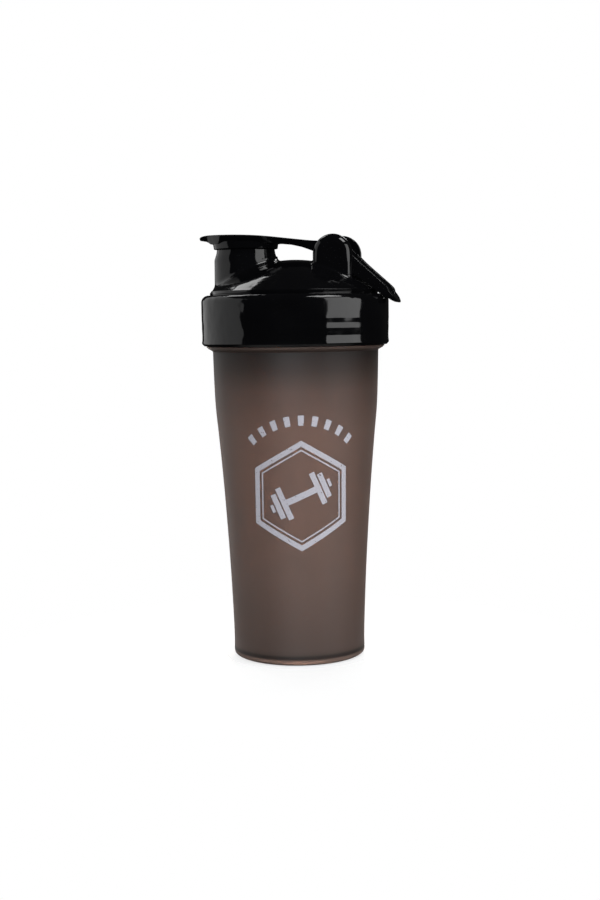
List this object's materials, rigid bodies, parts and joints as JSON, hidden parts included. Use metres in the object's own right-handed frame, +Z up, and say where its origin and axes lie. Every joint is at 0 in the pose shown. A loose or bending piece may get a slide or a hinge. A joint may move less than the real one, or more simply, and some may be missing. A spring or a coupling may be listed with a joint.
{
  "type": "protein shaker bottle",
  "caption": "Tapered shaker cup with a screw lid, a flip cap over a round spout, a hinged carry loop and a loose wire mixing ball.",
  "frame": {"origin": "the centre of the cup's foot, on the plane that it stands on", "axes": "+Z up along the cup's axis, +X towards the hinge and away from the spout, +Y along the hinge pin"},
  "size_m": [0.1026, 0.0956, 0.2166],
  "materials": {
    "smoke_plastic": "frosted translucent smoke brown polypropylene",
    "black_plastic": "glossy black polypropylene",
    "silicone": "soft dark silicone",
    "wire_steel": "bright drawn stainless wire"
  },
  "bodies": {
    "cup": {"cup": "smoke_plastic"},
    "seal": {"lid_seal": "silicone"},
    "lid": {"lid": "black_plastic", "hinge_pin": "black_plastic"},
    "flip_cap": {"flip_cap": "black_plastic", "spout_plug": "silicone"},
    "carry_loop": {"carry_loop": "black_plastic"},
    "mixing_ball": {"mixing_ball": "wire_steel"}
  },
  "joints": [
    {"name": "lid_rise", "type": "slide", "parent": "cup", "child": "seal", "axis": [0, 0, 1], "range_m": [0, 0.0272]},
    {"name": "lid_turn", "type": "hinge", "parent": "seal", "child": "lid", "pos_m": [0, 0, 0.17], "axis": [0, 0, 1], "range_deg": [0, 1620]},
    {"name": "flip_cap_hinge", "type": "hinge", "parent": "lid", "child": "flip_cap", "pos_m": [0.0224, 0, 0.206], "axis": [0, 1, 0], "range_deg": [0, 180]},
    {"name": "carry_loop_swing", "type": "hinge", "parent": "lid", "child": "carry_loop", "pos_m": [0.0224, 0, 0.206], "axis": [0, -1, 0], "range_deg": [0, 185]},
    {"name": "mixing_ball_travel", "type": "slide", "parent": "cup", "child": "mixing_ball", "axis": [0, 0, 1], "range_m": [0, 0.118]}
  ],
  "couplings": [
    {"joint": "lid_rise", "follows": "lid_turn", "m_per_rad": 0.00095493}
  ]
}
